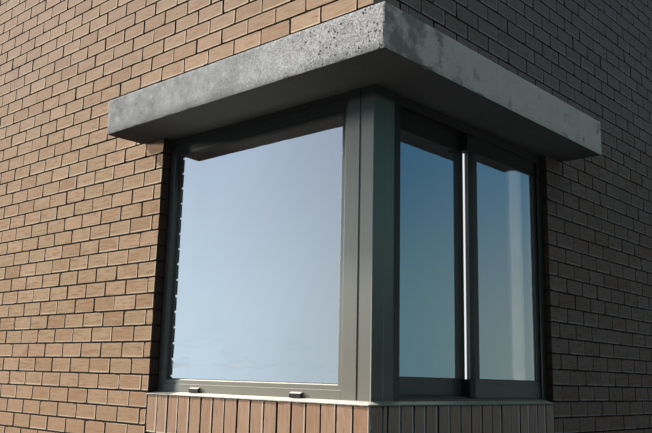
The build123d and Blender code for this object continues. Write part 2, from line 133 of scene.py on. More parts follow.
class BrickSettings(bpy.types.PropertyGroup):
    """Sizes and colours of the facing bricks."""

    length: length_property("Length", "Length of a brick", 0.1937, 0.05)
    height: length_property("Height", "Height of a brick", 0.0762, 0.03)
    joint: length_property("Joint", "Width of the joints", 0.0095, 0.002)
    rake: length_property("Rake", "Depth of the raked joints", 0.009)
    arris: length_property("Arris", "Width of the worn edge of a brick", 0.0030, 0.0005)
    first_joint_left: length_property(
        "First joint, left",
        "Head joint nearest the corner on even courses of the left wall", 0.1121)
    first_joint_right: length_property(
        "First joint, right",
        "Head joint nearest the corner on even courses of the right wall", 0.0587)
    soldiers_left: IntProperty(
        name="Soldiers, left", description="Upright bricks under the left window",
        default=17, min=1,
    )
    soldiers_right: IntProperty(
        name="Soldiers, right", description="Upright bricks under the right window",
        default=16, min=1,
    )
    first_soldier_right: length_property(
        "First soldier, right",
        "First joint past the corner brick of the right soldier course", 0.1276)
    seed: IntProperty(name="Seed", description="Start of the random draws", default=7)
    buff: colour_property("Buff", "Commonest colour of the bricks", (0.535, 0.370, 0.232))
    joint_colour: colour_property("Joint colour", "Colour of the raked mortar",
                                  (0.046, 0.030, 0.020))


class HoodSettings(bpy.types.PropertyGroup):
    """Surface of the concrete hood and of the mortar sill."""

    cell: length_property("Cell", "Spacing of the points on the concrete", 0.016, 0.004)
    wave: length_property("Wave", "Depth of the hollows left by the formwork", 0.0016)
    chip: length_property("Chip", "Wear of the arrises", 0.0022)
    proud: length_property("Proud", "How far the cast skin swells outside the wall", 0.0040)
    concrete: colour_property("Concrete", "Colour of the dry concrete", (0.435, 0.45, 0.47))
    bed: colour_property("Mortar", "Colour of the sill mortar", (0.80, 0.78, 0.73))


class MetalSettings(bpy.types.PropertyGroup):
    """Finish of the window frames and fittings."""

    anodised: colour_property("Anodised", "Colour of the anodised sections",
                              (0.137, 0.152, 0.142))
    # The dust colour also stands for the sunlit frame: dust and painted light
    dust_and_light: colour_property("Dust", "Colour of the dust on ledges", (0.27, 0.24, 0.185))
    roughness: share_property("Roughness", "Roughness of the anodising", 0.42)


class GlassSettings(bpy.types.PropertyGroup):
    """Look of the panes."""

    left_tint: colour_property("Fixed pane", "Reflection colour of the fixed pane",
                               (0.97, 0.98, 0.98))
    right_tint: colour_property("Sash panes", "Reflection colour of the sash panes",
                                (0.95, 0.98, 0.98))
    left_cover: share_property("Fixed pane cover", "How much the fixed pane hides", 0.86)
    right_cover: share_property("Sash pane cover", "How much the sash panes hide", 0.66)
    gasket: length_property("Gasket", "Width of the glazing gasket", 0.0035, 0.001)


class StudioSettings(bpy.types.PropertyGroup):
    """Camera, lamps, floor and background."""

    eye: FloatVectorProperty(
        name="Eye", description="Place of the camera", subtype="TRANSLATION",
        default=(2.112, -2.623, 1.6354),
    )
    tilt: FloatVectorProperty(
        name="Tilt", description="Rotation of the camera", subtype="EULER",
        default=tuple(math.radians(a) for a in (101.413, -1.5, 42.816)),
    )
    lens: FloatProperty(
        name="Lens", description="Focal length in millimetres on a 36 mm sensor",
        default=45.29,
    )
    shift_x: FloatProperty(name="Shift X", description="Camera shift", default=0.023)
    shift_y: FloatProperty(name="Shift Y", description="Camera shift", default=-0.0069)
    key_direction: lamp_direction("Key", (2.9, 1.0, -2.7))
    key_strength: lamp_strength("Key", 4.6)
    front_direction: lamp_direction("Front", (2.9, 1.0, -0.5))
    front_strength: lamp_strength("Front", 3.35)
    side_direction: lamp_direction("Side", (-0.7, 0.1, -1.0))
    side_strength: lamp_strength("Side", 0.18)
    back_direction: lamp_direction("Back", (0.5, -1.0, -0.8))
    back_strength: lamp_strength("Back", 0.9)
    floor_half: length_property("Floor", "Half the width of the floor", 60.0)


class Signal:
    """A socket of a shader tree; arithmetic on it adds the Math nodes."""

    def __init__(self, tree, socket):
        self.tree = tree
        self.socket = socket

    def maths(self, operation, *values):
        return self.tree.node(
            "ShaderNodeMath", {"operation": operation}, dict(enumerate(values))
        )

    def __add__(self, other):
        return self.maths("ADD", self, other)

    def __radd__(self, other):
        return self.maths("ADD", other, self)

    def __sub__(self, other):
        return self.maths("SUBTRACT", self, other)

    def __rsub__(self, other):
        return self.maths("SUBTRACT", other, self)

    def __mul__(self, other):
        return self.maths("MULTIPLY", self, other)

    def __rmul__(self, other):
        return self.maths("MULTIPLY", other, self)

    def smooth(self, low, high):
        """0 below low and 1 above high, or the other way round if low is the larger."""
        return self.tree.node(
            "ShaderNodeMapRange",
            {"interpolation_type": "SMOOTHSTEP"},
            {"Value": self, "From Min": low, "From Max": high},
        )

    def clamped(self):
        return self.tree.node("ShaderNodeClamp", {}, {"Value": self})

    def larger(self, other):
        return self.maths("MAXIMUM", self, other)


class Tree:
    """The nodes of one material or of the world."""

    def __init__(self, owner):
        owner.use_nodes = True
        self.nodes = owner.node_tree.nodes
        self.links = owner.node_tree.links
        self.nodes.clear()

    def node(self, kind, settings=None, inputs=None, output=0):
        """Adds a node, sets its settings and then its sockets, and gives one output."""
        made = self.nodes.new(kind)
        for name, value in (settings or {}).items():
            if name == "stops":
                self.set_stops(made.color_ramp, value)
            else:
                setattr(made, name, value)
        for name, value in (inputs or {}).items():
            self.feed(made.inputs[name], value)
        return Signal(self, made.outputs[output]) if made.outputs else None

    def feed(self, socket, value):
        if isinstance(value, Signal):
            self.links.new(value.socket, socket)
        elif socket.type == "RGBA" and len(value) == 3:
            socket.default_value = (*value, 1.0)
        else:
            socket.default_value = value

    @staticmethod
    def set_stops(ramp, stops):
        while len(ramp.elements) < len(stops):
            ramp.elements.new(0.5)
        for element, (place, colour) in zip(ramp.elements, stops):
            element.position = place
            element.color = (*colour, 1.0)

    def mix(self, low, high, factor, blend="MIX"):
        """Colour between low and high."""
        return self.node(
            "ShaderNodeMix",
            {"data_type": "RGBA", "blend_type": blend},
            {0: factor, 6: low, 7: high},
            output=2,
        )

    def coats(self, colour, *layers):
        """A colour with layers over it in order, each a colour and how much it covers."""
        for over, cover in layers:
            colour = self.mix(colour, over, cover)
        return colour

    def vector(self, operation, first, second, output="Vector"):
        return self.node("ShaderNodeVectorMath", {"operation": operation},
                         {0: first, 1: second}, output)

    def place(self):
        """Position on the object, in metres."""
        return self.node("ShaderNodeTexCoord", output="Object")

    def axis(self, vector, name):
        return self.node("ShaderNodeSeparateXYZ", {}, {0: vector}, name)

    def facing(self, name):
        """One component of the surface's own normal."""
        normal = self.node("ShaderNodeNewGeometry", output="Normal")
        return self.axis(normal, name)

    def attribute(self, name):
        """A vector stored on the mesh."""
        return self.node("ShaderNodeAttribute", {"attribute_name": name}, output="Vector")

    def light_path(self, name):
        return self.node("ShaderNodeLightPath", output=name)

    def grain(self, vector, scale, detail=3.0, roughness=0.55):
        """Noise from 0 to 1, with its own scale in features a metre."""
        return self.node(
            "ShaderNodeTexNoise", {},
            {"Vector": vector, "Scale": scale, "Detail": detail, "Roughness": roughness},
        )

    def stretched(self, vector, factors):
        return self.vector("MULTIPLY", vector, factors)

    def ramp(self, value, stops):
        return self.node("ShaderNodeValToRGB", {"stops": stops}, {0: value})

    def bump(self, height, distance, strength=1.0):
        return self.node("ShaderNodeBump", {},
                         {"Height": height, "Distance": distance, "Strength": strength})

    def surface(self, **inputs):
        """The Principled shader, joined to the output."""
        sockets = {name.replace("_", " "): value for name, value in inputs.items()}
        shader = self.node("ShaderNodeBsdfPrincipled", {}, sockets)
        self.node("ShaderNodeOutputMaterial", {}, {"Surface": shader})


def scaled(colour, factor):
    """A colour made lighter or darker, with no part above 1."""
    return tuple(min(1.0, part * factor) for part in colour)


def tinted(colour, *factors):
    """A colour with its red, green and blue each multiplied by their own factor."""
    return tuple(part * factor for part, factor in zip(colour, factors))


def new_finish(name):
    """A material with an empty tree."""
    material = bpy.data.materials.new(name)
    return material, Tree(material)


def exposed(tree):
    """1 on the faces that look out of the wall, 0 on the sides of the bricks."""
    place = tree.place()
    near_left_face = tree.axis(place, "Y").smooth(0.02, 0.008)
    near_right_face = tree.axis(place, "X").smooth(-0.02, -0.008)
    out_left = tree.facing("Y").smooth(-0.3, -0.6) * near_left_face
    out_right = tree.facing("X").smooth(0.3, 0.6) * near_right_face
    return (out_left + out_right).clamped()


def brick_finish(name, buff, streaks, painted_shade_tone):
    """Wire-cut brick: each brick has its own tone, with drag marks along the cut.

    The tone given for the right darkens what faces +X, less above the hood: painted
    shade of the shaded right wall. The sides of the bricks are painted dark as shade,
    and the palest rims are painted highlight over wear."""
    material, tree = new_finish(name)
    mark = tree.attribute("mark")
    rims = tree.attribute("rim")
    rim = tree.axis(rims, "X").larger(tree.axis(rims, "Y"))
    offset = tree.stretched(mark, (9.0, 11.0, 13.0))
    place = tree.vector("ADD", tree.place(), offset)
    drag = tree.grain(tree.stretched(place, streaks), 1.0, 4.0, 0.7)
    cloud = tree.grain(place, 17.0, 2.0)
    grit = tree.grain(place, 330.0, 3.0, 0.7)
    height = tree.axis(tree.place(), "Z")
    up_high = height.smooth(HOOD_LOW.z - 0.6, WALL_TOP - 0.4)
    down_low = height.smooth(SILL_HIGH.z + 0.5, SILL_LOW.z - 0.2)
    # Pale rims: faint wear on all edges, and a painted highlight on the palest end and the
    # bottom
    worn_and_lit_edge = (rim + grit * 0.3 - 0.15).smooth(0.76, 0.90)
    body = tree.ramp(tree.axis(mark, "X"), [
        (0.0, tinted(buff, 0.84, 0.76, 0.70)),
        (0.16, tinted(buff, 0.97, 0.90, 0.88)),
        (0.36, buff),
        (0.56, tinted(buff, 0.96, 0.97, 0.95)),
        (0.76, tinted(buff, 1.05, 1.0, 1.03)),
        (1.0, tinted(buff, 1.12, 1.12, 1.18)),
    ])
    face = tree.coats(
        body,
        (tinted(buff, 0.66, 0.50, 0.38), drag.smooth(0.50, 0.66) * 0.85),
        (tinted(buff, 1.30, 1.40, 1.55), drag.smooth(0.46, 0.30) * 0.55),
        (tinted(buff, 0.80, 0.70, 0.62), cloud.smooth(0.5, 0.78) * 0.4),
        ((0.14, 0.09, 0.06), grit.smooth(0.66, 0.80) * 0.5),
        (tinted(buff, 0.95, 1.03, 1.40), up_high * 0.5),
        (tinted(buff, 0.98, 0.82, 0.80), down_low * 0.6),
        (tinted(buff, 1.75, 2.05, 2.5), worn_and_lit_edge * 0.92),
    )
    # Painted shade of the right wall: darker and cooler on what faces +X, less so above the hood
    painted_shade_by_height = tree.mix(painted_shade_tone, scaled(painted_shade_tone, 1.35),
                         height.smooth(HOOD_LOW.z - 0.2, HOOD_HIGH.z + 0.4))
    shaded_face = tree.mix(face, painted_shade_by_height, tree.facing("X").smooth(0.3, 0.6), "MULTIPLY")
    # The sides of the bricks are painted near black: painted shade in the joints and the reveals
    colour = tree.mix((0.042, 0.030, 0.023), shaded_face, exposed(tree))
    tree.surface(Base_Color=colour, Roughness=0.84 + grit * 0.14, Specular_IOR_Level=0.25,
                 Normal=tree.bump(drag * 0.6 + grit * 0.4, 0.0012, 0.8))
    return material


def joint_finish(settings):
    """Raked mortar, sandy and stained."""
    material, tree = new_finish("raked_joint")
    place = tree.place()
    sand = tree.grain(place, 420.0, 3.0, 0.7)
    stain = tree.grain(place, 9.0, 3.0)
    mortar = tuple(settings.joint_colour)
    colour = tree.coats(
        scaled(mortar, 0.6),
        (scaled(mortar, 2.4), stain.smooth(0.40, 0.75)),
        (scaled(mortar, 2.2), sand.smooth(0.58, 0.75) * 0.5),
    )
    tree.surface(Base_Color=colour, Roughness=0.95, Specular_IOR_Level=0.2,
                 Normal=tree.bump(sand, 0.0015, 0.9))
    return material


def concrete_finish(settings):
    """Cast concrete: mottled, with blow holes, paler near the corner and with damp stains;
    painted light on the face toward +X and painted shade underneath.
    """
    material, tree = new_finish("cast_concrete")
    place = tree.place()
    x, y, z = (tree.axis(place, name) for name in "XYZ")
    cloud = tree.grain(place, 4.5, 4.0, 0.6)
    mottle = tree.grain(place, 20.0, 5.0, 0.7)
    fleck = tree.grain(place, 150.0, 4.0, 0.85)
    sand = tree.grain(place, 310.0, 4.0, 0.7)
    blotch = tree.grain(place, 8.0, 4.0, 0.62)
    hole_size = tree.grain(place, 26.0, 2.0)
    near_corner = x.smooth(HOOD_LOW.x * 0.60, HOOD_HIGH.x * 0.2)
    right_face = tree.facing("X").smooth(0.5, 0.9)
    underside = tree.facing("Z").smooth(-0.5, -0.9)

    warp = tree.node("ShaderNodeTexNoise", {}, {"Vector": place, "Scale": 70.0}, "Color")
    bent = tree.vector("ADD", place, tree.stretched(warp, (0.016, 0.016, 0.016)))
    holes = tree.node("ShaderNodeTexVoronoi", {"feature": "F1"},
                      {"Vector": bent, "Scale": 60.0, "Randomness": 1.0})
    sparse = 1.0 - hole_size.smooth(0.38, 0.58) * (0.12 + near_corner * 0.88)
    pits = (holes + sparse * 0.6 + right_face * 0.18).smooth(0.36, 0.24)

    dry = tuple(settings.concrete)
    speckled = 0.10 + near_corner * 0.85
    lip = z.smooth(HOOD_LOW.z + 0.06, HOOD_LOW.z) * mottle.smooth(0.30, 0.60)
    growth = (blotch + y.smooth(0.55, -0.10) * 0.16).smooth(0.56, 0.74) * right_face
    # Painted shade on the underside, darker along the right arm and toward the left end
    shade = tree.coats(
        (0.140, 0.143, 0.138),
        ((0.072, 0.073, 0.072), y.smooth(-0.1, 0.9)),
        ((0.045, 0.046, 0.045), x.smooth(-1.05, -1.60)),
    )
    colour = tree.coats(
        scaled(dry, 0.78),
        (scaled(dry, 1.25), cloud.smooth(0.32, 0.68)),
        (scaled(dry, 1.8), mottle.smooth(0.50, 0.72) * 0.65),
        (scaled(dry, 0.45), mottle.smooth(0.48, 0.28) * 0.6),
        (scaled(dry, 2.4), fleck.smooth(0.51, 0.60) * speckled),
        (scaled(dry, 0.16), fleck.smooth(0.48, 0.40) * speckled),
        (scaled(dry, 0.5), sand.smooth(0.56, 0.78) * 0.4),
        ((0.88, 0.89, 0.92), near_corner * 0.24),
        ((0.17, 0.18, 0.17), lip * 0.6),
        # Much paler on what faces +X: painted light on the shaded face
        ((0.98, 1.0, 0.97), right_face * (0.55 + cloud * 0.45)),
        ((0.16, 0.22, 0.185), growth * 0.66),
        (shade, underside * 0.95),
        # Blow holes painted near black: painted shade inside them
        ((0.035, 0.035, 0.034), pits * (1.0 - underside) * 0.92),
    )
    relief = mottle * 0.5 + sand * 0.3 - pits * 0.9
    tree.surface(Base_Color=colour, Roughness=0.86 + sand * 0.1, Specular_IOR_Level=0.04,
                 Normal=tree.bump(relief, 0.0035, 0.85))
    return material


def bed_finish(settings):
    """Trowelled mortar of the sill, nearly white, with a little dirt, painted shade on its right
    part and a painted shadow of the left jamb on its top near that jamb.
    """
    material, tree = new_finish("sill_bed")
    place = tree.place()
    x = tree.axis(place, "X")
    cloud = tree.grain(place, 12.0, 4.0)
    sand = tree.grain(place, 280.0, 3.0, 0.7)
    pale = tuple(settings.bed)
    right_sill_shade = tree.axis(place, "Y").smooth(0.03, 0.07) * x.smooth(-0.12, -0.09)
    # Painted shadow of the left jamb on the top of the sill
    jamb_shadow = x.smooth(JAMB_SHADOW_X, JAMB_SHADOW_X - 0.03) * tree.facing("Z").smooth(0.3, 0.8)
    colour = tree.coats(
        scaled(pale, 0.80),
        (pale, cloud.smooth(0.32, 0.62)),
        ((0.42, 0.38, 0.32), cloud.smooth(0.60, 0.80) * 0.5),
        ((0.5, 0.46, 0.4), sand.smooth(0.60, 0.80) * 0.4),
        # Painted shade on the right part of the sill
        ((0.25, 0.31, 0.26), right_sill_shade * 0.9),
        ((0.10, 0.10, 0.09), jamb_shadow * 0.85),
    )
    tree.surface(Base_Color=colour, Roughness=0.9, Specular_IOR_Level=0.2,
                 Normal=tree.bump(cloud * 0.6 + sand * 0.3, 0.0025, 0.7))
    return material


def plaster_finish():
    """Painted plaster with the marks of a float."""
    material, tree = new_finish("painted_plaster")
    place = tree.place()
    float_marks = tree.grain(place, 8.0, 4.0)
    fine = tree.grain(place, 160.0, 3.0)
    colour = tree.mix((0.38, 0.375, 0.36), (0.47, 0.465, 0.45), float_marks.smooth(0.3, 0.7))
    tree.surface(Base_Color=colour, Roughness=0.78, Specular_IOR_Level=0.3,
                 Normal=tree.bump(float_marks * 0.7 + fine * 0.2, 0.003, 0.5))
    return material


def board_finish():
    """Painted timber board with the grain showing faintly through."""
    material, tree = new_finish("painted_board")
    grain = tree.grain(tree.stretched(tree.place(), (6.0, 60.0, 60.0)), 1.0, 4.0)
    colour = tree.mix((0.66, 0.64, 0.58), (0.78, 0.76, 0.70), grain.smooth(0.35, 0.65))
    tree.surface(Base_Color=colour, Roughness=0.45, Normal=tree.bump(grain, 0.0006, 0.5))
    return material


def anodised_finish(name, settings, along, right_low, right_high, hood_shade_depth, front=0.0):
    """Satin anodised aluminium, drawn along the section, with dust and painted sunlight
    near the left sill.

    right_low and right_high set the painted shade on what faces +X at the sill and at
    the hood, the depth given for the hood is how far the painted shade under the hood
    reaches down, and front is how much of this painted shade is on the other faces,
    which then hold no dust and no painted sunlight."""
    material, tree = new_finish(name)
    place = tree.place()
    x, z = tree.axis(place, "X"), tree.axis(place, "Z")
    sill, hood = POST_LOW.z, POST_HIGH.z
    drawn = tree.grain(tree.stretched(place, along), 1.0, 3.0, 0.6)
    bloom = tree.grain(place, 7.0, 4.0, 0.6)
    speck = tree.grain(place, 240.0, 2.0)
    up = tree.facing("Z").smooth(0.25, 0.9)
    facing_front = tree.facing("Y").smooth(-0.3, -0.8)
    right_face = tree.facing("X").smooth(0.4, 0.8)

    low = z.smooth(sill + 0.75, sill)
    # Out of the painted shadow of the left jamb: the dust, painted sunlight and pale ledges stop
    # there
    out_of_jamb_shadow = x.smooth(JAMB_SHADOW_X - 0.02, JAMB_SHADOW_X)
    left_window = x.smooth(-0.12, -0.17) * out_of_jamb_shadow
    # Dust on the low faces toward -Y, with painted sunlight there outside the jamb's shadow
    low_dust_and_sunlight = low * facing_front * out_of_jamb_shadow * (0.3 + bloom * 0.4) + speck.smooth(0.62, 0.8) * 0.06
    dust_and_light = (low_dust_and_sunlight * (0.0 if front else 1.0)).clamped()
    # How dark the painted shade is on what faces +X, from the sill to the hood
    far_from_hood = z.smooth(sill + 0.80, sill + 0.08)
    shade_strength = right_high + (right_low - right_high) * far_from_hood
    painted_side_shade = (front + right_face * (1.0 - front)) * shade_strength
    # Painted shade under the hood, reaching down by the depth given
    hood_shade = z.smooth(hood - hood_shade_depth, hood - hood_shade_depth * 0.4)
    at_arris = x.smooth(POST_HIGH.x - 0.0055, POST_HIGH.x - 0.0035)

    metal = tuple(settings.anodised)
    colour = tree.coats(
        scaled(metal, 0.95),
        (scaled(metal, 1.05), drawn.smooth(0.3, 0.7)),
        (scaled(metal, 1.25), bloom.smooth(0.5, 0.8) * 0.4),
        # Darker toward the hood: painted shade
        (scaled(metal, 0.70), z.smooth(sill + 0.55, hood) * 0.9),
        # Paler and greener on what faces +X above the sill: painted light on the shaded side
        (tinted(metal, 1.18, 1.42, 1.22), right_face * z.smooth(sill + 0.1, sill + 0.7)),
        # Nearly black where the painted shade of the hood and of the faces toward +X lies
        (scaled(metal, 0.10), (hood_shade * 0.9 + painted_side_shade).clamped()),
        # Dust and painted sunlight on the low faces toward -Y
        (tuple(settings.dust_and_light), dust_and_light),
        # Pale ledges of the left window: dust and a painted highlight
        ((0.50, 0.48, 0.43), up * left_window * 0.8),
        # Pale line along the post's rubbed arris, low on its front face: wear and a painted
        # highlight
        ((0.80, 0.78, 0.72), at_arris * facing_front * low * 0.8),
    )
    tree.surface(
        Base_Color=colour,
        Roughness=settings.roughness + dust_and_light * 0.35 + drawn * 0.05 + hood_shade * 0.35,
        Metallic=(0.5 - dust_and_light * 0.4) * (1.0 - painted_side_shade * 0.8) * (1.0 - hood_shade * 0.9),
        Specular_IOR_Level=0.25,
        Normal=tree.bump(drawn * 0.4 + speck * 0.2, 0.0001, 0.4),
    )
    return material


def mill_finish():
    """Mill-finished aluminium of the interlock, drawn along its length."""
    material, tree = new_finish("mill_aluminium")
    drawn = tree.grain(tree.stretched(tree.place(), (260.0, 260.0, 3.0)), 1.0, 3.0)
    colour = tree.mix((0.34, 0.35, 0.35), (0.48, 0.49, 0.49), drawn.smooth(0.3, 0.7))
    tree.surface(Base_Color=colour, Roughness=0.35 + drawn * 0.1, Metallic=0.6,
                 Normal=tree.bump(drawn, 0.0002, 0.4))
    return material


def plastic_finish(name, dark, dust_and_light_colour):
    """Dark moulded plastic with dust and a painted highlight on what faces up."""
    material, tree = new_finish(name)
    place = tree.place()
    orange_peel = tree.grain(place, 500.0, 2.0)
    cloud = tree.grain(place, 60.0, 3.0)
    dust_and_light = (tree.facing("Z").smooth(0.2, 0.8) * (0.65 + cloud * 0.3)).clamped()
    colour = tree.coats(
        dark,
        (scaled(dark, 1.8), cloud.smooth(0.4, 0.7)),
        (dust_and_light_colour, dust_and_light),
    )
    tree.surface(Base_Color=colour, Roughness=0.6 + dust_and_light * 0.35, Specular_IOR_Level=0.15,
                 Normal=tree.bump(orange_peel, 0.0002, 0.5))
    return material


def rubber_finish(name, dark):
    """Black gasket or sealant, slightly chalked."""
    material, tree = new_finish(name)
    chalk = tree.grain(tree.place(), 90.0, 3.0)
    colour = tree.mix(dark, scaled(dark, 3.0), chalk.smooth(0.5, 0.8))
    tree.surface(Base_Color=colour, Roughness=0.7, Normal=tree.bump(chalk, 0.0004, 0.4))
    return material


def glass_finish(name, tint, painted_reflection_tint, hides, smears, lean):
    """A reflecting pane with dried rain and wiping marks, leaning back by a slope.

    Its tint changes toward the corner post to the tint given for it: a painted reflection."""
    material, tree = new_finish(name)
    place = tree.place()
    height = tree.axis(place, "Z")
    slow = tree.grain(place, 2.2, 2.0)
    wiped = tree.grain(tree.stretched(place, (3.0, 3.0, 17.0)), 1.0, 5.0, 0.65)
    low = height.smooth(FIXED_PANE_LOW.z + 0.34, FIXED_PANE_LOW.z + 0.04)
    film = (low * wiped.smooth(0.48, 0.72) * smears).clamped()
    # Painted reflection: the tint changes toward the corner post
    to_post = tree.axis(place, "X").smooth(FIXED_PANE_LOW.x + 0.2, 0.0)
    colour = tree.coats(
        scaled(tint, 0.95),
        (tint, slow.smooth(0.3, 0.7)),
        (painted_reflection_tint, to_post),
        ((0.55, 0.56, 0.54), film),
    )
    tree.surface(Base_Color=colour, Roughness=0.015 + film * 0.3, Metallic=1.0,
                 Alpha=hides + film * (1.0 - hides),
                 Normal=tree.bump(slow * 0.0002 - height * lean, 1.0))
    return material


def add_object(name, data):
    """A new object in the scene."""
    made = bpy.data.objects.new(name, data)
    bpy.context.scene.collection.objects.link(made)
    return made


def add_mesh(name, verts, faces, material):
    """A new mesh object with its finish."""
    mesh = bpy.data.meshes.new(name)
    mesh.from_pydata(verts, [], faces)
    mesh.materials.append(material)
    return add_object(name, mesh)


def add_piece(name, verts, faces, material):
    """A mesh object that rides on the wall, with its finish."""
    piece = add_mesh(name, verts, faces, material)
    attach(piece, BODY)
    return piece


def dress(material, *nodes):
    """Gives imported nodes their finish."""
    for node in nodes:
        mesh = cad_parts[node].data
        mesh.materials.clear()
        mesh.materials.append(material)


def soften(mesh, smooth, sharp_angle):
    """Shades faces smooth, with a hard edge where they meet at more than an angle."""
    mesh.polygons.foreach_set("use_smooth", smooth)
    mesh.set_sharp_from_angle(angle=math.radians(sharp_angle))


def to_world(side, along, depth, height):
    """A point of a wall, from its distance to the corner, its depth and its height."""
    if side == "left":
        return (-along, depth, height)
    return (-depth, along, height)


def ring_places(columns, rows):
    """Grid places round the edge of a brick's face, in order."""
    bottom = [(i, 0) for i in range(columns)]
    end = [(columns, k) for k in range(rows)]
    top = [(i, rows) for i in range(columns, 0, -1)]
    start = [(0, k) for k in range(rows, 0, -1)]
    return bottom + end + top + start


class Blocks:
    """Bricks gathered into one mesh, with a mark for each brick and the rim's paleness."""

    def __init__(self, settings, seed):
        self.settings = settings
        self.random = random.Random(seed)
        self.verts = []
        self.marks = []
        self.rims = []
        self.faces = []
        self.smooth = []

    def put_point(self, place, mark, rim):
        self.verts.append(place)
        self.marks.append(mark)
        self.rims.append(rim)

    def put_face(self, side, face, smooth=False):
        self.faces.append(face[::-1] if side == "left" else face)
        self.smooth.append(smooth)

    def add(self, side, start, end, low, high):
        """One brick: a slightly uneven face, worn arrises, plain sides and back."""
        draw = self.random.uniform
        arris = min(self.settings.arris, (end - start) / 5, (high - low) / 5)
        columns = max(2, round((end - start) / FACE_STEP_ALONG))
        rows = max(2, round((high - low) / FACE_STEP_UP))
        lean_along, lean_up = draw(-0.0011, 0.0011), draw(-0.0006, 0.0006)
        out = draw(0.0, 0.0016) + FACE_SET_IN
        jog = draw(-0.0006, 0.0006)
        mark = (self.random.random(), self.random.random(), self.random.random())
        pale = draw(0.82, 1.08)
        faint = 0.76 * pale
        # The palest rim, on this end and on the bottom, is painted highlight over the wear
        palest_end = 0 if side == "left" else columns
        first = len(self.verts)

        def plane(u, v):
            return max(0.0, out + lean_along * (u - 0.5) + lean_up * (v - 0.5))

        def rim(i, k, fade=1.0):
            upright = pale if i == palest_end else faint if i in (0, columns) else 0.0
            level = pale if k == 0 else faint if k == rows else 0.0
            return (upright * fade, level * fade, 0.0)

        for k in range(rows + 1):
            for i in range(columns + 1):
                u, v = i / columns, k / rows
                along = start + arris + u * (end - start - 2 * arris)
                height = low + arris + v * (high - low - 2 * arris) + jog
                depth = max(0.0, plane(u, v) + draw(-0.0003, 0.0003))
                self.put_point(to_world(side, along, depth, height), mark, rim(i, k))

        ring = ring_places(columns, rows)
        chips = {place: draw(0.001, 0.005) if self.random.random() < CHIP_CHANCE else 0.0
                 for place in ((0, 0), (columns, 0), (columns, rows), (0, rows))}
        edge_first = len(self.verts)
        backs = []
        for i, k in ring:
            u, v = i / columns, k / rows
            wear = chips.get((i, k), 0.0) + draw(-0.0002, 0.0007)
            along = start + u * (end - start) + wear * ((i == 0) - (i == columns))
            height = low + v * (high - low) + jog + wear * ((k == 0) - (k == rows))
            self.put_point(to_world(side, along, plane(u, v) + arris * 0.3, height), mark,
                           rim(i, k, draw(0.9, 1.1)))
            backs.append(to_world(side, along, BRICK_BACK, height))
        back_first = len(self.verts)
        for place in backs:
            self.put_point(place, mark, (0.0, 0.0, 0.0))

        def grid(i, k):
            return first + k * (columns + 1) + i

        for k in range(rows):
            for i in range(columns):
                corners = [grid(i, k), grid(i + 1, k), grid(i + 1, k + 1), grid(i, k + 1)]
                self.put_face(side, corners, True)
        count = len(ring)
        for n in range(count):
            m = (n + 1) % count
            edge_a, edge_b = edge_first + n, edge_first + m
            self.put_face(side, [edge_a, edge_b, grid(*ring[m]), grid(*ring[n])])
            self.put_face(side, [back_first + n, back_first + m, edge_b, edge_a])
        self.put_face(side, [back_first + n for n in reversed(range(count))])

    def make(self, name, material, slot, *nodes):
        """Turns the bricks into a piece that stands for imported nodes."""
        piece = add_piece(name, self.verts, self.faces, material)
        soften(piece.data, self.smooth, sharp_angle=9)
        for attribute, vectors in (("mark", self.marks), ("rim", self.rims)):
            stored = piece.data.attributes.new(attribute, "FLOAT_VECTOR", "POINT")
            stored.data.foreach_set("vector", [part for vector in vectors for part in vector])
        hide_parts(*nodes)


# The six ways out of a cell, each with the corners of the cell's face on that side
CELL_SIDES = (
    ((-1, 0, 0), ((0, 0, 0), (0, 0, 1), (0, 1, 1), (0, 1, 0))),
    ((1, 0, 0), ((1, 0, 0), (1, 1, 0), (1, 1, 1), (1, 0, 1))),
    ((0, -1, 0), ((0, 0, 0), (1, 0, 0), (1, 0, 1), (0, 0, 1))),
    ((0, 1, 0), ((0, 1, 0), (0, 1, 1), (1, 1, 1), (1, 1, 0))),
    ((0, 0, -1), ((0, 0, 0), (0, 1, 0), (1, 1, 0), (1, 0, 0))),
    ((0, 0, 1), ((0, 0, 1), (1, 0, 1), (1, 1, 1), (0, 1, 1))),
)


def shell(xs, ys, zs, inside, shape):
    """A closed skin round the cells that are inside, moved into shape point by point.

    shape gets a point and the sum of the normals of the faces that meet there."""
    def middle(places, n):
        return (places[n] + places[n + 1]) / 2

    cells = {(i, j, k) for i in range(len(xs) - 1) for j in range(len(ys) - 1)
             for k in range(len(zs) - 1)
             if inside(middle(xs, i), middle(ys, j), middle(zs, k))}
    index, normals, faces = {}, {}, []
    for i, j, k in sorted(cells):
        for way, corners in CELL_SIDES:
            if (i + way[0], j + way[1], k + way[2]) in cells:
                continue
            face = []
            for a, b, c in corners:
                key = (i + a, j + b, k + c)
                index.setdefault(key, len(index))
                normals.setdefault(key, set()).add(way)
                face.append(index[key])
            faces.append(face)
    verts = []
    for i, j, k in index:
        total = [sum(way[n] for way in normals[i, j, k]) for n in range(3)]
        verts.append(tuple(shape(Vector((xs[i], ys[j], zs[k])), Vector(total))))
    return verts, faces


def steps(marks, cell, edge=0.0):
    """Even steps from mark to mark, with closer ones at both ends if edge is given."""
    places = [marks[0]]
    for low, high in zip(marks, marks[1:]):
        count = max(1, round((high - low) / cell))
        places += [low + (high - low) * n / count for n in range(1, count + 1)]
    if edge:
        places = [marks[0], marks[0] + edge] + places[1:-1] + [marks[-1] - edge, marks[-1]]
    return places


def joints_in(first, pitch, start, end):
    """Places of a lattice of joints between two ends."""
    number = math.ceil((start + SHORTEST_BRICK - first) / pitch)
    places = []
    while first + number * pitch < end - SHORTEST_BRICK:
        places.append(first + number * pitch)
        number += 1
    return places


